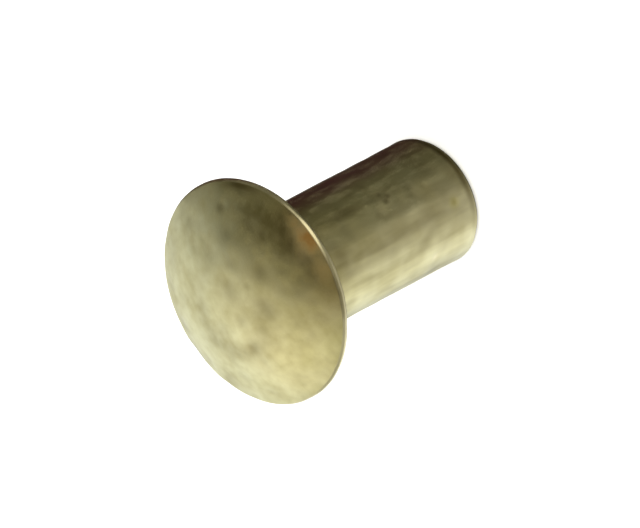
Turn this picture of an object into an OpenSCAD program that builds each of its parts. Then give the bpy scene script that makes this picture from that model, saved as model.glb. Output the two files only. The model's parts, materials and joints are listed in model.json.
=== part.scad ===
// Oval head rivet: a solid brass rivet, cold headed in one piece from drawn wire.
// It stands on its tail. Z runs up the shank to the crown of the head, and the
// origin is at the middle of the tail's flat face.

/* [Shank] */
// Diameter of the shank
shank_d = 4; // [3:0.1:5]
// Length of the shank, from the tail to the seat under the head
shank_l = 7.8; // [5:0.1:16]
// Radius of the rolled edge round the tail
tail_edge_r = 0.2; // [0.05:0.01:0.4]
// Radius of the fillet where the shank runs into the head
neck_r = 0.12; // [0.05:0.01:0.2]

/* [Head] */
// Diameter of the head
head_d = 7.2; // [6.2:0.1:10]
// Height of the head, from its seat to its crown
head_h = 1.25; // [0.9:0.05:2.2]
// Radius of the rounded rim
rim_r = 0.15; // [0.08:0.01:0.25]

/* [Hidden] */
// Facets of the arcs in a preview
$fn = 96;
// How far a cutting shape runs past what it cuts
overrun = 0.1;

shank_r = shank_d / 2;
// The rim is a ring of this radius, and its section is a circle of rim_r
rim_ring_r = head_d / 2 - rim_r;
// The crown is a sphere that runs into the rim without a step
crown_rise = head_h - 2 * rim_r;
crown_r = (pow(rim_ring_r, 2) + head_h * crown_rise) / (2 * crown_rise);
crown_centre_z = head_h - crown_r;
// Slope of the crown where it meets the rim
rim_slope = atan2(rim_ring_r, rim_r - crown_centre_z);

// Half section of the shank, with its square corner rolled over at the tail
module shank_section() {
    difference() {
        square([shank_r, shank_l]);
        translate([shank_r - tail_edge_r, -overrun])
            difference() {
                square([tail_edge_r + overrun, tail_edge_r + overrun]);
                translate([0, tail_edge_r + overrun])
                    circle(tail_edge_r);
            }
    }
}

// Half section of the fillet in the corner between the shank and the seat
module neck_section() {
    translate([shank_r, shank_l - neck_r])
        difference() {
            square(neck_r);
            translate([neck_r, 0])
                circle(neck_r);
        }
}

// Half section of the head, drawn up from its seat: the part of the crown's circle
// that lies inside the line from its centre through the rim, and the rim's own circle
module head_section() {
    rim_centre = [rim_ring_r, rim_r];
    past_rim = rim_centre + (rim_r + overrun) * [sin(rim_slope), cos(rim_slope)];
    intersection() {
        translate([0, crown_centre_z])
            circle(crown_r);
        polygon([[0, 0], [rim_ring_r, 0], rim_centre, past_rim,
                 [past_rim.x, head_h + overrun], [0, head_h + overrun]]);
    }
    translate(rim_centre)
        circle(rim_r);
}

module rivet() {
    color([0.73, 0.70, 0.50])
        rotate_extrude() {
            shank_section();
            neck_section();
            translate([0, shank_l])
                head_section();
        }
}

rivet();
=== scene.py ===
# %% [markdown]
# # An oval head rivet in tumbled brass
#
# A solid rivet is one piece of metal. A length of drawn brass wire is cropped, one end is struck into a
# low domed head, and a barrel of rivets is then tumbled to take off the burrs. This lesson loads the
# rivet's solid model as a fixed frame, works out a finer skin over the same section, and gives that skin
# the small dents, draw lines and tarnish that tell the eye it is a real, handled piece of brass.

# %% Load the frame
import json
import math

import bpy
import numpy as np
from mathutils import Matrix, Vector


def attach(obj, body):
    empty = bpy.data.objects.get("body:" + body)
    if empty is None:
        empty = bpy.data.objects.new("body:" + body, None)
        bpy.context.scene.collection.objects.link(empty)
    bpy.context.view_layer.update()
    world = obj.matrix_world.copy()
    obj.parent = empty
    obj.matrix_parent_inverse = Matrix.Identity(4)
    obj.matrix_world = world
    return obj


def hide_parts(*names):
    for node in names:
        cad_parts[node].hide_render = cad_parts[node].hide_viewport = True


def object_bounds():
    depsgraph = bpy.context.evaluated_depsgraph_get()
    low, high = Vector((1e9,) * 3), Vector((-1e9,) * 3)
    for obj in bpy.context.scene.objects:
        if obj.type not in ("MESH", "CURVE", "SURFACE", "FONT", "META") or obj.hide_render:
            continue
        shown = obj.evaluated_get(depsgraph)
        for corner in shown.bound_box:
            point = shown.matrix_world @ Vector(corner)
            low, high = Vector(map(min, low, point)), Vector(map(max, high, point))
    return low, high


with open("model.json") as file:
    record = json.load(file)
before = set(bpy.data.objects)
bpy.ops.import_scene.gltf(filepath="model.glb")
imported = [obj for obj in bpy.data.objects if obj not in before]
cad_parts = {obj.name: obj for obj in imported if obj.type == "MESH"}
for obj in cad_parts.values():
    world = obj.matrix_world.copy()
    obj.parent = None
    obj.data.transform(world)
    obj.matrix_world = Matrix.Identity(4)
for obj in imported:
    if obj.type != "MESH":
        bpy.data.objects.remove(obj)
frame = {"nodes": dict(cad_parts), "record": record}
cad_low, cad_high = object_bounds()
MM = 0.001
print("solid model, mm:", [round(side / MM, 3) for side in cad_high - cad_low])

# %% [markdown]
# ## The rivet's sizes
#
# Everything that fits something else is written in the record: the shank is a pin with a radius and a
# straight length, and the seat is the flat face under the head. The head's size follows from the solid's
# box, and the rim's radius from how far the flat seat stops short of the edge. Reading the sizes from
# there, and not typing them again, keeps the skin and the solid one shape.

# %% Read the sizes
PLANE_GAP = 0.0001 * MM

mounts = {mount["name"]: mount for mount in frame["record"]["mounts"]}
shank = mounts["shank"]
shank_r = shank["dims"]["r_mm"] * MM
wall_half = shank["dims"]["length_mm"] * MM / 2
tail_edge_r = shank["pos_m"][2] - wall_half
seat_z = mounts["under_head"]["pos_m"][2]
neck_r = seat_z - shank["pos_m"][2] - wall_half
head_r = max(cad_high.x - cad_low.x, cad_high.y - cad_low.y) / 2
crown_z = cad_high.z

solid = frame["nodes"]["rivet"].data
corners = np.empty(len(solid.vertices) * 3, dtype=np.float32)
solid.vertices.foreach_get("co", corners)
corners = corners.reshape(-1, 3)
on_seat = np.isclose(corners[:, 2], seat_z, rtol=0, atol=PLANE_GAP)
rim_r = head_r - np.linalg.norm(corners[on_seat, :2], axis=1).max()
print("shank radius, tail edge, neck, head radius and rim, mm:",
      [round(float(size) / MM, 3) for size in (shank_r, tail_edge_r, neck_r, head_r, rim_r)])

# %% [markdown]
# ## The section
#
# Half of the rivet's section is a chain of straight lines and arcs: across the flat tail, round its rolled
# edge, up the shank, through the fillet at the neck, out along the seat, round the rim and over the crown.
# It could be drawn as a curve and spun with a modifier, but as two arrays of radius and height it can also
# be bent, dented and measured. The crown is a sphere that touches the rim's circle, so that the light runs
# off the dome and round the rim without a break.

# %% Draw the section
RINGS = {"tail": 48, "tail_edge": 14, "shank": 132, "neck": 9, "seat": 26, "rim": 32, "crown": 96}


def line(start, end, count):
    """Points spaced evenly from start to end, with start left out."""
    share = np.linspace(0.0, 1.0, count + 1)[1:, None]
    return np.array(start) * (1 - share) + np.array(end) * share


def arc(centre, radius, first, last, count):
    """Points on a circle about centre between two angles in degrees, first and last, first left out."""
    angle = np.radians(np.linspace(first, last, count + 1)[1:])
    return np.array(centre) + radius * np.column_stack([np.cos(angle), np.sin(angle)])


rim_ring_r = head_r - rim_r
crown_rise = crown_z - seat_z - 2 * rim_r
crown_r = (rim_ring_r ** 2 + (crown_z - seat_z) * crown_rise) / (2 * crown_rise)
crown_centre_z = crown_z - crown_r
rim_top_angle = math.degrees(math.atan2(seat_z + rim_r - crown_centre_z, rim_ring_r))

section = {
    "tail": line((0, 0), (shank_r - tail_edge_r, 0), RINGS["tail"]),
    "tail_edge": arc((shank_r - tail_edge_r, tail_edge_r), tail_edge_r, -90, 0, RINGS["tail_edge"]),
    "shank": line((shank_r, tail_edge_r), (shank_r, seat_z - neck_r), RINGS["shank"]),
    "neck": arc((shank_r + neck_r, seat_z - neck_r), neck_r, 180, 90, RINGS["neck"]),
    "seat": line((shank_r + neck_r, seat_z), (rim_ring_r, seat_z), RINGS["seat"]),
    "rim": arc((rim_ring_r, seat_z + rim_r), rim_r, -90, rim_top_angle, RINGS["rim"]),
    "crown": arc((0, crown_centre_z), crown_r, rim_top_angle, 90, RINGS["crown"]),
}
outline = np.vstack(list(section.values()))[:-1]
zone = np.repeat(list(section), [len(part) for part in section.values()])[:-1]
print("rings in the section:", len(outline), "crown radius, mm:", round(crown_r / MM, 2))

# %% [markdown]
# ## Waves and draw lines
#
# A tumbled rivet is never quite smooth. The header leaves the dome faintly wavy, and the wire keeps lines
# from the die along the shank, one of them scored deeper than the rest. A bump map could fake all of it,
# but bump has no effect on the outline and is lost from the plain mesh, so here every mark that is wider
# than a face of the mesh is a true hollow. The skin is a function of two numbers, the place along the
# section and the angle round the axis, and each hollow takes a little off it, along the normal.

# %% Lay out the grid
AROUND = 256
EASE_RINGS = 14
turn = np.linspace(0.0, 2 * np.pi, AROUND, endpoint=False)


def spun(radius, height, angle):
    """Points of a circle about Z: angle 0 is the side of -Y, and a growing angle goes round by -X."""
    return np.stack(np.broadcast_arrays(-radius * np.sin(angle), -radius * np.cos(angle), height), axis=-1)


def share_of(*parts, rings=EASE_RINGS):
    """1 on the named parts of the section and 0 elsewhere, eased over some rings where they meet."""
    window = np.hanning(rings + 2)[1:-1]
    mask = np.pad(np.isin(zone, parts).astype(float), rings, mode="edge")
    return np.convolve(mask, window / window.sum(), mode="same")[rings:-rings, None]


tangent = np.gradient(outline, axis=0)
tangent /= np.linalg.norm(tangent, axis=1, keepdims=True)
smooth_skin = spun(outline[:, :1], outline[:, 1:], turn)
outward = spun(tangent[:, 1:], -tangent[:, :1], turn)
on_shank = share_of("shank")
on_head = share_of("rim", "crown")
print("skin:", smooth_skin.shape[0] * AROUND, "points")

# %% Waves of the head and the shank
SEED = 4
WAVE_LENGTH = (1.2 * MM, 3.5 * MM)
WAVE_COUNT = 24
HEAD_WAVE = 0.011 * MM
SHANK_WAVE = 0.006 * MM
rng = np.random.default_rng(SEED)


def waves(points, ways, shortest, longest):
    """Sum of plane waves, one along each of the ways, with random lengths and starts, scaled to -1 to 1."""
    number = 2 * np.pi / rng.uniform(shortest, longest, size=len(ways))
    start = rng.uniform(0, 2 * np.pi, size=len(ways))
    total = np.cos(points @ (ways * number[:, None]).T + start).sum(axis=-1)
    return total / np.abs(total).max()


all_ways = rng.normal(size=(WAVE_COUNT, 3))
all_ways /= np.linalg.norm(all_ways, axis=1, keepdims=True)
unevenness = waves(smooth_skin, all_ways, *WAVE_LENGTH) - 1
hollow = (on_head * HEAD_WAVE + on_shank * SHANK_WAVE) * unevenness
print("deepest wave, mm:", round(-hollow.min() / MM, 4))

# %% Draw lines and the score
DRAW_RIDGES = (8, 28)
DRAW_COUNT = 24
DRAW_LEAN = 0.5 / MM
DRAW_DEPTH = 0.005 * MM
SCORE_ANGLE = 13.0
SCORE_WIDTH = 0.17 * MM
SCORE_DEPTH = 0.012 * MM


def draw_lines(angle, height):
    """Sum of whole numbers of ridges round the shank, each leaning a little along it, between -1 and 1."""
    ridges = rng.integers(*DRAW_RIDGES, size=DRAW_COUNT)
    start = rng.uniform(0, 2 * np.pi, size=DRAW_COUNT)
    lean = rng.normal(0, DRAW_LEAN, size=DRAW_COUNT)
    total = np.cos(angle[..., None] * ridges + height[..., None] * lean + start).sum(axis=-1)
    return total / np.abs(total).max()


def round_from(angle):
    """How far each column lies round the axis from an angle in degrees, in radians from -pi to pi."""
    return np.angle(np.exp(1j * (turn - math.radians(angle))))


lines = draw_lines(turn[None, :], smooth_skin[..., 2]) - 1
score = np.exp(-(round_from(SCORE_ANGLE) * shank_r / SCORE_WIDTH) ** 2)
hollow += on_shank * DRAW_DEPTH * lines
hollow -= on_shank * SCORE_DEPTH * score
print("deepest so far, mm:", round(-hollow.min() / MM, 4))

# %% [markdown]
# ## Tool marks
#
# The wire is sheared to length, which leaves fine steps across the flat of the tail, all one way. The punch
# that strikes the head leaves a faint ring near the crown, a little off centre and deeper on one side. Both
# could be carved by cutters with a boolean, but they are far too shallow for clean cuts. As hollows they
# are two lines of arithmetic: waves along one way only, and a bell curve across a circle.

# %% Shear steps and the punch's ring
SHEAR_WAY = (0.97, 0.24, 0.0)
SHEAR_LENGTH = (0.16 * MM, 0.7 * MM)
SHEAR_COUNT = 14
SHEAR_DEPTH = 0.006 * MM
SHEAR_EASE_RINGS = 6
PUNCH_CENTRE = (-0.18 * MM, 0.33 * MM)
PUNCH_RING_R = 1.3 * MM
PUNCH_RING_WIDTH = 0.36 * MM
PUNCH_RING_DEPTH = 0.007 * MM
PUNCH_DEEP_SIDE = math.radians(120)

shear = waves(smooth_skin, np.tile(SHEAR_WAY, (SHEAR_COUNT, 1)), *SHEAR_LENGTH)
hollow -= share_of("tail", rings=SHEAR_EASE_RINGS) * SHEAR_DEPTH * np.abs(shear)

from_punch = smooth_skin[..., :2] - PUNCH_CENTRE
punch_r = np.linalg.norm(from_punch, axis=-1)
punch_side = np.arctan2(-from_punch[..., 0], -from_punch[..., 1])
ring_depth = PUNCH_RING_DEPTH * (1 + np.cos(punch_side - PUNCH_DEEP_SIDE)) / 2
punch_ring = share_of("crown") * ring_depth * np.exp(-((punch_r - PUNCH_RING_R) / PUNCH_RING_WIDTH) ** 2)
print("shear steps, mm:", SHEAR_DEPTH / MM, "punch ring, mm:", round(ring_depth.max() / MM, 4))

# %% [markdown]
# ## Dents and nicks
#
# Rivets that knock together in the barrel leave shallow round dents all over, and a few sharper nicks. A
# dent is a bell curve of the distance from its centre, and its depth goes with its width, so that all have
# about the same slope, as dents from the same knocks do. The dents are spread evenly over the area by
# choosing rings in proportion to how much skin each one holds.

# %% Tumbling dents
DENT_COUNT = 420
DENT_R = (0.10 * MM, 0.34 * MM)
DENT_SLOPE = (0.012, 0.045)
DENTED = ("tail_edge", "shank", "rim", "crown")


def bell(centre, radius):
    """1 at the centre, falling off as a bell curve of the distance over the radius."""
    return np.exp(-(np.linalg.norm(smooth_skin - centre, axis=-1) / radius) ** 2)


on_dented = share_of(*DENTED)
ring_area = np.isin(zone, DENTED) * outline[:, 0] * np.linalg.norm(np.gradient(outline, axis=0), axis=1)
dents = punch_ring.copy()
for ring in rng.choice(len(outline), size=DENT_COUNT, p=ring_area / ring_area.sum()):
    dent_r = rng.uniform(*DENT_R)
    centre = spun(*outline[ring], rng.uniform(0, 2 * np.pi))
    dents += on_dented * bell(centre, dent_r) * dent_r * rng.uniform(*DENT_SLOPE)
print("dents:", DENT_COUNT, "deepest with the ring, mm:", round(dents.max() / MM, 4))

# %% Nicks
# name, part, angle in degrees, radius or height of its place, its radius, its depth, dirt that it holds
NICKS = (
    ("crown, right", "crown", -70.5, 2.89 * MM, 0.17 * MM, 0.014 * MM, 0.10),
    ("shank, middle", "shank", -17.0, 3.30 * MM, 0.12 * MM, 0.009 * MM, 0.50),
    ("shank, beside it", "shank", -20.5, 3.12 * MM, 0.10 * MM, 0.006 * MM, 0.40),
    ("shank, above both", "shank", -25.0, 3.38 * MM, 0.09 * MM, 0.005 * MM, 0.30),
    ("shank, left", "shank", 53.9, 1.93 * MM, 0.12 * MM, 0.016 * MM, 0.0),
)


def skin_ring(part, where):
    """The ring of a part nearest to where, which is a radius on the crown and a height on the shank."""
    return np.argmin(np.abs(outline[:, 1 if part == "shank" else 0] - where) + (zone != part))


nick_grime = np.zeros_like(hollow)
for _, part, angle, where, radius, depth, dirt in NICKS:
    nick = bell(spun(*outline[skin_ring(part, where)], math.radians(angle)), radius)
    dents += nick * depth
    nick_grime += nick * dirt
hollow -= dents
skin = smooth_skin + hollow[..., None] * outward
print("nicks:", len(NICKS), "deepest hollow, mm:", round(-hollow.min() / MM, 4))

# %% [markdown]
# ## Where the brass is brown, grimy, painted with shade, rubbed or yellow
#
# Brass turns brown where damp has lain on it, here in a streak beside the rim. Dirt stays in the dents, the
# draw lines and the ring. The corner under the head is darkened by dirt and by painted shade, painted shade
# darkens the tail's rolled edge and a patch just above it, and the far end of the rim is painted darker.
# The rim is rubbed bright, because it knocks against everything, and one spot on the shank is rubbed bright
# and carries a painted highlight. The yellow tint of old brass grows towards the head and towards the
# front, and is strong in one speck by the tail. These amounts follow the shape, so they are worked out with
# it and kept on the mesh as attributes, one number for each point, which the material then reads. One more
# attribute is 1 on the drawn shank and 0 on the head. A picture painted by hand could hold them too, but
# not in true sizes.

# %% Name the spots
# name, layer, part, angle in degrees, radius or height of its place, reach round and along, amount
SPOTS = (
    ("beside the rim", "tarnish", "crown", -11.0, 3.38 * MM, 0.60 * MM, 0.38 * MM, 1.00),
    ("further up the rim", "tarnish", "crown", -22.0, 3.42 * MM, 0.38 * MM, 0.32 * MM, 0.50),
    ("further down the rim", "tarnish", "crown", 5.0, 3.40 * MM, 0.60 * MM, 0.34 * MM, 0.50),
    # painted darker along the far end of the rim
    ("far end of the rim", "grime_and_shade", "crown", -60.0, 3.52 * MM, 0.75 * MM, 0.18 * MM, 0.90),
    ("speck by the tail", "yellowed", "shank", 11.7, 0.91 * MM, 0.18 * MM, 0.20 * MM, 1.00),
    ("dirt on the speck", "grime_and_shade", "shank", 11.7, 0.91 * MM, 0.15 * MM, 0.17 * MM, 0.46),
    ("in the score", "grime_and_shade", "shank", 16.0, 3.00 * MM, 0.17 * MM, 3.20 * MM, 0.30),
    # painted shade on the shank just above the tail
    ("near the tail", "grime_and_shade", "shank", -17.0, 0.45 * MM, 0.40 * MM, 0.25 * MM, 0.30),
    # painted shade along the tail's rolled edge, where it meets the floor
    ("round the tail", "grime_and_shade", "shank", -30.0, 0.20 * MM, 2.00 * MM, 0.13 * MM, 1.00),
    # a spot rubbed bright that also carries a painted highlight
    ("rubbed spot with a painted highlight", "rubbed", "shank", 53.9, 1.93 * MM, 0.11 * MM, 0.13 * MM, 1.00),
)

section_step = np.linalg.norm(np.diff(outline, axis=0, prepend=outline[:1]), axis=1)
along_section = np.cumsum(section_step)[:, None]


def patch(part, angle, where, around, along):
    """A bell curve of two distances: round the axis over around, and along the section over along."""
    ring = skin_ring(part, where)
    off_angle = round_from(angle) * outline[ring, 0]
    off_ring = along_section - along_section[ring]
    return np.exp(-(off_angle / around) ** 2 - (off_ring / along) ** 2)


print("spots:", len(SPOTS), "length of the section, mm:", round(float(along_section[-1, 0]) / MM, 2))

# %% Paint the tarnish, grime, painted shade and wear
# how far the dirt and painted shade in the corner under the head reach
NECK_REACH = 0.35 * MM
# a dent as deep as this would be full of grime
GRIME_DEPTH = 0.07 * MM
LINE_GRIME = 0.16
RING_GRIME = 0.24
# how far out on the rim the rubbing starts and is full, as shares of the rim's radius
RUBBED_FROM = 0.52
RUBBED_FULL = 0.75
YELLOW_FAR_SIDE = 0.25
YELLOW_MOST = 0.65

under_head = np.isin(zone, ["shank", "neck", "seat"])[:, None]
# dirt and painted shade in the corner under the head, where the head shades the shank
neck_dirt_and_shade = under_head * np.exp(-np.clip(seat_z - smooth_skin[..., 2], 0, None) / NECK_REACH)
line_grime = LINE_GRIME * on_shank * np.clip(-lines - 1, 0, 1)
ring_grime = RING_GRIME * punch_ring / PUNCH_RING_DEPTH
# dirt in the dents, nicks, lines and ring, with painted shade under the head
grime_and_shade = np.clip(neck_dirt_and_shade + dents / GRIME_DEPTH + nick_grime + line_grime + ring_grime, 0, 1)
stands_out = (outline[:, :1] - rim_ring_r) / rim_r
rubbed = np.clip((stands_out - RUBBED_FROM) / (RUBBED_FULL - RUBBED_FROM), 0, 1) * np.ones(AROUND)
near_side = np.clip(-smooth_skin[..., 1] / head_r, 0, 1)
up_shank = np.clip(smooth_skin[..., 2] / seat_z, 0, 1)
yellowed = YELLOW_MOST * up_shank * (YELLOW_FAR_SIDE + (1 - YELLOW_FAR_SIDE) * near_side)
layers = {"tarnish": np.zeros_like(hollow), "grime_and_shade": grime_and_shade, "rubbed": rubbed, "yellowed": yellowed,
          "drawn": on_shank * np.ones(AROUND)}
for _, layer, part, angle, where, around, along, amount in SPOTS:
    layers[layer] = np.maximum(layers[layer], amount * patch(part, angle, where, around, along))
layers["tarnish"] *= 1 - rubbed
print("painted, mean amount:", {name: round(float(values.mean()), 3) for name, values in layers.items()})

# %% Build the skin
def skin_mesh(name, grid, ends, layers):
    """A mesh from rings of points, closed round the seam and by one point at each end of the axis."""
    rings, around = grid.shape[:2]
    index = np.arange(rings * around).reshape(rings, around)
    following = np.roll(index, -1, axis=1)
    quads = np.stack([index[:-1], index[1:], following[1:], following[:-1]], axis=-1).reshape(-1, 4)
    first, last = rings * around, rings * around + 1
    tail_fan = np.stack([np.full(around, first), index[0], following[0]], axis=-1)
    crown_fan = np.stack([index[-1], np.full(around, last), following[-1]], axis=-1)
    mesh = bpy.data.meshes.new(name)
    points = np.vstack([grid.reshape(-1, 3), ends])
    mesh.from_pydata(points, [], [*quads.tolist(), *tail_fan.tolist(), *crown_fan.tolist()])
    mesh.polygons.foreach_set("use_smooth", np.ones(len(mesh.polygons), dtype=bool))
    for layer, values in layers.items():
        attribute = mesh.attributes.new(layer, "FLOAT", "POINT")
        ring_ends = [values[0].mean(), values[-1].mean()]
        attribute.data.foreach_set("value", np.append(values.ravel(), ring_ends).astype(np.float32))
    mesh.update()
    return mesh


tail_end = (0, 0, -hollow[0].mean())
crown_end = (0, 0, crown_z + hollow[-1].mean())
rivet_mesh = skin_mesh("rivet_skin", skin, [tail_end, crown_end], layers)
rivet = bpy.data.objects.new("rivet_skin", rivet_mesh)
bpy.context.scene.collection.objects.link(rivet)
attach(rivet, "root")
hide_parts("rivet")
print("triangles in the skin:", sum(len(face.vertices) - 2 for face in rivet_mesh.polygons))

# %% [markdown]
# ## Tumbled brass
#
# Brass reflects about nine tenths of red light and much less of blue, which is all that makes it yellow:
# the colour is in its reflections, so the shader is metallic almost all over. Tumbling leaves it satin and
# not polished. Handling then dulls it in clouds about a millimetre across, finely speckled on the head and
# streaked along the shank, and a thin bloom of oxide scatters a little light, which shows where the metal
# mirrors something dark. A picture wrapped round the mesh could hold all this, but noise in real
# millimetres has no seam and stays sharp however close the camera comes.

# %% Small helpers for nodes
SRGB_FULL = 255
SRGB_TOE = 0.04045
SRGB_TOE_SLOPE = 12.92
SRGB_OFFSET = 0.055
SRGB_POWER = 2.4
MID_GREY = "#808080"


def linear(hex_colour):
    """An sRGB hex colour as linear red, green, blue and alpha 1: a straight toe, then a power curve."""
    shades = np.array(list(bytes.fromhex(hex_colour[1:]))) / SRGB_FULL
    curved = ((shades + SRGB_OFFSET) / (1 + SRGB_OFFSET)) ** SRGB_POWER
    return (*np.where(shades <= SRGB_TOE, shades / SRGB_TOE_SLOPE, curved), 1.0)


def add(tree, kind, inputs=(), **settings):
    """Add a node, set its settings, and set each input to a value or link it to a socket."""
    node = tree.nodes.new(kind)
    for name, value in settings.items():
        setattr(node, name, value)
    for name, value in dict(inputs).items():
        if isinstance(value, bpy.types.NodeSocket):
            tree.links.new(value, node.inputs[name])
        else:
            node.inputs[name].default_value = value
    return node


print("mid grey as linear light:", round(float(linear(MID_GREY)[0]), 3))

# %% Start the brass and its noise
# the true grain of a tumbled surface is finer than a pixel, so it is drawn just coarse enough to show
NOISE_SIZES = {"clouds": 1.1 * MM, "tint": 0.7 * MM, "speckle": 0.28 * MM, "grain": 0.07 * MM}
NOISE_DETAIL = 2.0

# tumbled brass gives the eye a soft, slightly green yellow sheen, uneven from handling and painted shade
brass = bpy.data.materials.new("tumbled brass")
brass.use_nodes = True
tree = brass.node_tree
tree.nodes.clear()
place = add(tree, "ShaderNodeTexCoord").outputs["Object"]
noise = {}
for name, size in NOISE_SIZES.items():
    noise[name] = add(tree, "ShaderNodeTexNoise",
                      {"Vector": place, "Scale": 1 / size, "Detail": NOISE_DETAIL}).outputs["Fac"]
painted = {}
for name in layers:
    painted[name] = add(tree, "ShaderNodeAttribute", attribute_name=name).outputs["Fac"]
print("noises:", ", ".join(noise), "attributes:", ", ".join(painted))

# %% Draw the noise out along the shank
# width and length of each
DRAWN_SIZES = {"streaks": (0.45 * MM, 3.2 * MM), "bloom": (0.22 * MM, 0.7 * MM)}
FINE_SHARE = 0.33

for name, (width, length) in DRAWN_SIZES.items():
    along_shank = add(tree, "ShaderNodeMapping",
                      {"Vector": place, "Scale": (1 / width, 1 / width, 1 / length)}).outputs["Vector"]
    noise[name] = add(tree, "ShaderNodeTexNoise",
                      {"Vector": along_shank, "Scale": 1.0, "Detail": NOISE_DETAIL}).outputs["Fac"]
fine = add(tree, "ShaderNodeMix",
           {"Factor": painted["drawn"], "A": noise["speckle"], "B": noise["streaks"]}).outputs["Result"]
mottle = add(tree, "ShaderNodeMix",
             {"Factor": FINE_SHARE, "A": noise["clouds"], "B": fine}).outputs["Result"]
print("patterns of the brass:", len(tree.nodes), "nodes")

# %% Colour the brass
BRASS_BRIGHT = "#F7EFBE"
BRASS_DULL = "#E0D6A1"
BRASS_YELLOW = "#FFFDCC"
# multiplied in for dirt and for painted shade
BRASS_GRIME_AND_SHADE = "#968C76"
# bright rubbed brass, also the painted highlight of one spot on the shank
BRASS_RUBBED = "#FBF0C0"
STREAK_GRIME = 0.20
# the levels of the noise where each starts and is full
STREAK_RANGE = (0.46, 0.72)
DULL_RANGE = (0.36, 0.64)
YELLOW_RANGE = (-0.20, 0.70)

dullness = add(tree, "ShaderNodeMapRange",
               {"Value": mottle, "From Min": DULL_RANGE[0], "From Max": DULL_RANGE[1]}).outputs["Result"]
patina = add(tree, "ShaderNodeMix",
             {"Factor": dullness, "A": linear(BRASS_BRIGHT), "B": linear(BRASS_DULL)},
             data_type="RGBA").outputs["Result"]
yellow_amount = add(tree, "ShaderNodeMapRange",
                    {"Value": noise["tint"], "From Min": YELLOW_RANGE[0], "From Max": YELLOW_RANGE[1],
                     "To Max": painted["yellowed"]}).outputs["Result"]
tinted = add(tree, "ShaderNodeMix", {"Factor": yellow_amount, "A": patina, "B": linear(BRASS_YELLOW)},
             data_type="RGBA", blend_type="MULTIPLY").outputs["Result"]
streak_grime = add(tree, "ShaderNodeMapRange",
                   {"Value": noise["streaks"], "From Min": STREAK_RANGE[0], "From Max": STREAK_RANGE[1],
                    "To Max": STREAK_GRIME}).outputs["Result"]
# dirt streaks on the shank plus the attribute's dirt and painted shade
dirt_and_shade_share = add(tree, "ShaderNodeMath", {0: streak_grime, 1: painted["drawn"], 2: painted["grime_and_shade"]},
                  operation="MULTIPLY_ADD", use_clamp=True).outputs["Value"]
dirty_and_shaded = add(tree, "ShaderNodeMix", {"Factor": dirt_and_shade_share, "A": tinted, "B": linear(BRASS_GRIME_AND_SHADE)},
            data_type="RGBA", blend_type="MULTIPLY").outputs["Result"]
metal = add(tree, "ShaderNodeMix", {"Factor": painted["rubbed"], "A": dirty_and_shaded, "B": linear(BRASS_RUBBED)},
            data_type="RGBA").outputs["Result"]
print("colours of the brass:", len(tree.nodes), "nodes")

# %% [markdown]
# ## The brown film
#
# The brown beside the rim is a film of oxide: it is matte and no longer metal, so it scatters light evenly
# and shows brown even where the bright metal beside it mirrors something dark. Its edge is broken up by the
# same speckle that mottles the brass, because the film grows from many small specks. A second shader could
# be mixed in for it, but lowering the metallic and raising the roughness of the one shader does the same.
# The thin bloom on the rest of the metal lowers the metallic too, but much less.

# %% Lay the film and the bloom
FILM_BROWN = "#75551E"
FILM_BREAK = 0.5
# a thin film already tints the metal, and only a thick one is matte
FILM_COLOUR_POWER = 0.4
FILM_MATTE_POWER = 1.6
FILM_METAL = 0.2
BLOOM = 0.05
BLOOM_RANGE = (0.45, 0.70)

broken = add(tree, "ShaderNodeMath", {0: noise["speckle"], 1: FILM_BREAK}, operation="ADD")
film_amount = add(tree, "ShaderNodeMath", {0: painted["tarnish"], 1: broken.outputs["Value"]},
                  operation="MULTIPLY").outputs["Value"]
film = add(tree, "ShaderNodeMath", {0: film_amount, 1: FILM_COLOUR_POWER},
           operation="POWER", use_clamp=True).outputs["Value"]
matted = add(tree, "ShaderNodeMath", {0: film_amount, 1: FILM_MATTE_POWER},
             operation="POWER", use_clamp=True).outputs["Value"]
colour = add(tree, "ShaderNodeMix", {"Factor": film, "A": metal, "B": linear(FILM_BROWN)},
             data_type="RGBA").outputs["Result"]
shank_bloom = add(tree, "ShaderNodeMapRange",
                  {"Value": noise["bloom"],
                   "From Min": BLOOM_RANGE[0], "From Max": BLOOM_RANGE[1]}).outputs["Result"]
bloom = add(tree, "ShaderNodeMix",
            {"Factor": painted["drawn"], "A": dullness, "B": shank_bloom}).outputs["Result"]
bloomed_metal = add(tree, "ShaderNodeMapRange",
                    {"Value": bloom, "To Min": 1.0, "To Max": 1 - BLOOM}).outputs["Result"]
bare_metal = add(tree, "ShaderNodeMapRange",
                 {"Value": matted, "To Min": bloomed_metal, "To Max": FILM_METAL}).outputs["Result"]
print("film and bloom of the brass:", len(tree.nodes), "nodes")

# %% Put the brass together
SATIN = (0.29, 0.39)
RUBBED_SATIN = 0.30
FILM_MATTE = 0.65
GRAIN_DEPTH = 0.002 * MM
GRAIN_STRENGTH = 0.5

satin = add(tree, "ShaderNodeMapRange",
            {"Value": dullness, "To Min": SATIN[0], "To Max": SATIN[1]}).outputs["Result"]
rim_satin = add(tree, "ShaderNodeMix",
                {"Factor": painted["rubbed"], "A": satin, "B": RUBBED_SATIN}).outputs["Result"]
gloss = add(tree, "ShaderNodeMix", {"Factor": matted, "A": rim_satin, "B": FILM_MATTE}).outputs["Result"]
grain_bump = add(tree, "ShaderNodeBump",
                 {"Height": noise["grain"], "Distance": GRAIN_DEPTH, "Strength": GRAIN_STRENGTH})
shader = add(tree, "ShaderNodeBsdfPrincipled",
             {"Base Color": colour, "Metallic": bare_metal, "Roughness": gloss,
              "Normal": grain_bump.outputs["Normal"]})
add(tree, "ShaderNodeOutputMaterial", {"Surface": shader.outputs["BSDF"]})
rivet_mesh.materials.append(brass)
print("material:", brass.name, "nodes:", len(tree.nodes))

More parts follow.
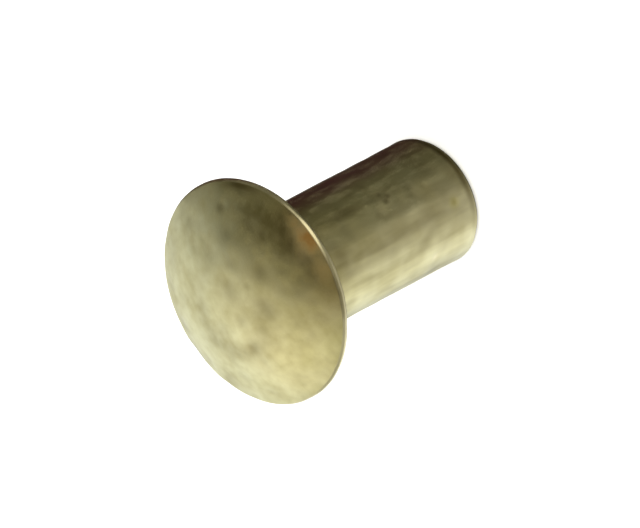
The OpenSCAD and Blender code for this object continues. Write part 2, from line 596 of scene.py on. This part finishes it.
# %% [markdown]
# ## The light
#
# Metal shows its surroundings, so lighting it means choosing what it sees. A small part is best shot in a
# light tent: a white cloth that is brightest where the lamp stands behind it, here to the left and behind,
# and falls off smoothly to the right. Overhead a dull ceiling makes the dome's dark side, a faint glow in
# front ends it before the rim, and a warm light and a cream fold of the cloth tint the lit side. On the
# left a dim wall and a low white card fill the shank, and a grey card draws a darker line along the rim.
# A tall window in front lights the rim's near side, and dark cards on the right and behind, with the
# shadow underneath, keep the shank's far edge and the tail's rolled edge dark. Lamps and cards could be
# built as objects, but as a world whose brightness depends on the direction only, the tent costs no more
# than a plain sky.

# %% List what the metal sees
TENT_SHADE = "#555448"
# name, direction, how squat it is, the cosines where it starts and is full, colour, how it mixes
TENT = (
    ("dull ceiling", (0.05, -0.05, 1.00), 1.0, 0.55, 0.93, "#403A22", "MIX"),
    ("lamp behind the cloth", (-0.62, 0.78, -0.09), 1.0, -0.12, 0.86, "#EBF1F6", "MIX"),
    ("warm light overhead", (-0.28, 0.58, 0.76), 1.0, 0.78, 0.99, "#665A47", "ADD"),
    ("faint glow in front", (-0.42, -0.11, 0.90), 1.0, 0.93, 0.997, "#6D6054", "ADD"),
    ("cream cloth on the left", (-0.58, 0.50, 0.64), 1.0, 0.85, 0.98, "#FFFAEF", "MULTIPLY"),
    ("dim wall on the left", (-0.78, -0.54, -0.31), 1.0, 0.48, 0.73, "#4E4A42", "ADD"),
    ("low white card on the left", (-0.68, -0.32, -0.67), 2.5, 0.865, 0.95, "#8E8E92", "ADD"),
    ("tall window in front", (0.36, -0.80, 0.48), 0.30, 0.92, 0.97, "#FFFBF3", "ADD"),
    ("grey card on the far left", (-0.95, 0.22, 0.06), 1.0, 0.76, 0.94, "#9C9C92", "MIX"),
    ("dark card on the right", (0.80, 0.58, -0.15), 1.0, 0.82, 0.95, "#403630", "MIX"),
    ("dark card behind", (0.55, 0.50, -0.67), 1.0, 0.83, 0.95, "#351D26", "MIX"),
    ("shadow underneath", (0.10, 0.20, -0.97), 1.0, 0.80, 0.95, "#3B3830", "MIX"),
)
print("in the light tent:", ", ".join(row[0] for row in TENT))

# %% Put up the light tent
BACKDROP = "#FFFFFF"

world = bpy.data.worlds.new("light tent")
world.use_nodes = True
bpy.context.scene.world = world
tent = world.node_tree
tent.nodes.clear()
direction = add(tent, "ShaderNodeTexCoord").outputs["Generated"]
tent_light = linear(TENT_SHADE)
for _, side, squat, edge, full, colour_seen, blend in TENT:
    shape = Vector((1, 1, squat))
    middle = (Vector(side) * shape).normalized()
    flattened = add(tent, "ShaderNodeVectorMath", {0: direction, 1: shape}, operation="MULTIPLY")
    unit = add(tent, "ShaderNodeVectorMath", {0: flattened.outputs["Vector"]}, operation="NORMALIZE")
    toward = add(tent, "ShaderNodeVectorMath",
                 {0: unit.outputs["Vector"], 1: middle}, operation="DOT_PRODUCT")
    share = add(tent, "ShaderNodeMapRange",
                {"Value": toward.outputs["Value"], "From Min": edge, "From Max": full},
                interpolation_type="SMOOTHSTEP")
    tent_light = add(tent, "ShaderNodeMix",
                     {"Factor": share.outputs["Result"], "A": tent_light, "B": linear(colour_seen)},
                     data_type="RGBA", blend_type=blend).outputs["Result"]
seen_by_metal = add(tent, "ShaderNodeBackground", {"Color": tent_light})
seen_by_camera = add(tent, "ShaderNodeBackground", {"Color": linear(BACKDROP)})
camera_ray = add(tent, "ShaderNodeLightPath").outputs["Is Camera Ray"]
backdrop = add(tent, "ShaderNodeMixShader",
               {0: camera_ray, 1: seen_by_metal.outputs["Background"],
                2: seen_by_camera.outputs["Background"]})
add(tent, "ShaderNodeOutputWorld", {"Surface": backdrop.outputs["Shader"]})
print("light tent nodes:", len(tent.nodes))

# %% [markdown]
# ## The floor
#
# The rivet stands on a sheet of white paper. A square plane would do, but a wide disc has no corner that
# could come into a view. Under the tent's dull ceiling the paper would look grey, so it glows a little and
# has a soft overhead light of its own. The metal mirrors neither the paper nor that light, so that the
# paper can be nearly white while the brass keeps its dark side.

# %% Lay the floor
FLOOR_R = 900 * MM
FLOOR_GAP = 0.01 * MM
FLOOR_SIDES = 64

floor_turn = np.linspace(0, 2 * np.pi, FLOOR_SIDES, endpoint=False)
floor_edge = spun(FLOOR_R, -FLOOR_GAP, -floor_turn)
floor_mesh = bpy.data.meshes.new("floor")
floor_mesh.from_pydata(floor_edge, [], [list(range(FLOOR_SIDES))])
floor = bpy.data.objects.new("floor", floor_mesh)
bpy.context.scene.collection.objects.link(floor)
floor.visible_glossy = False
print("floor radius, mm:", round(FLOOR_R / MM))

# %% Make it paper and light it
PAPER_WHITE = "#F6F6F4"
PAPER_ROUGHNESS = 1.0
PAPER_GLOW = 0.45
OVERHEAD_LIGHT = 3.0
OVERHEAD_SPREAD = math.radians(110)

# matte paper gives the eye nothing but an even white and a soft shadow
paper = bpy.data.materials.new("white paper")
paper.use_nodes = True
paper.node_tree.nodes.clear()
sheet = add(paper.node_tree, "ShaderNodeBsdfPrincipled",
            {"Base Color": linear(PAPER_WHITE), "Roughness": PAPER_ROUGHNESS, "Specular IOR Level": 0.0,
             "Emission Color": linear(PAPER_WHITE), "Emission Strength": PAPER_GLOW})
add(paper.node_tree, "ShaderNodeOutputMaterial", {"Surface": sheet.outputs["BSDF"]})
floor_mesh.materials.append(paper)

overhead = bpy.data.objects.new("overhead", bpy.data.lights.new("overhead", "SUN"))
overhead.data.energy = OVERHEAD_LIGHT
overhead.data.angle = OVERHEAD_SPREAD
overhead.visible_glossy = False
bpy.context.scene.collection.objects.link(overhead)
print("material:", paper.name, "overhead light:", OVERHEAD_LIGHT)

# %% [markdown]
# ## The camera
#
# The photograph looks down on the head from about 42 degrees above the seat, with a long lens, and it is
# turned so that the head lies to the lower left. The angle between the axis and the line of sight, the turn
# of the picture, its scale and the place of the seat's centre fix the camera. A camera could be placed by
# eye, but these were measured from the outlines of the head and the shank, so that the two pictures lie
# one on the other.

# %% Set the camera
PHOTO_W, PHOTO_H = 640, 528
SEAT_PX = (258.94, 289.71)
SCALE_PX = 33.56 / MM
LENS_PX = 20000
SENSOR = 36.0
AXIS_TO_SIGHT = math.radians(47.96)
AXIS_TURN = math.radians(27.85)

back = Vector((0, -math.sin(AXIS_TO_SIGHT), math.cos(AXIS_TO_SIGHT)))
rising = Vector((0, math.cos(AXIS_TO_SIGHT), math.sin(AXIS_TO_SIGHT)))
right = -math.sin(AXIS_TURN) * Vector((1, 0, 0)) - math.cos(AXIS_TURN) * rising
up = back.cross(right)
seat_centre = Vector((0, 0, seat_z))
aside = (PHOTO_W / 2 - SEAT_PX[0]) / SCALE_PX
above = (SEAT_PX[1] - PHOTO_H / 2) / SCALE_PX
camera = bpy.data.objects.new("camera", bpy.data.cameras.new("camera"))
camera.data.sensor_width = SENSOR
camera.data.sensor_fit = "HORIZONTAL"
camera.data.lens = SENSOR * LENS_PX / PHOTO_W
turned = Matrix((right, up, back)).transposed().to_4x4()
away = seat_centre + back * LENS_PX / SCALE_PX + right * aside + up * above
camera.matrix_world = Matrix.Translation(away) @ turned
bpy.context.scene.collection.objects.link(camera)
bpy.context.scene.camera = camera
bpy.context.scene.view_settings.view_transform = "Standard"
print("lens, mm:", camera.data.lens, "distance, mm:", round(LENS_PX / SCALE_PX / MM, 1))
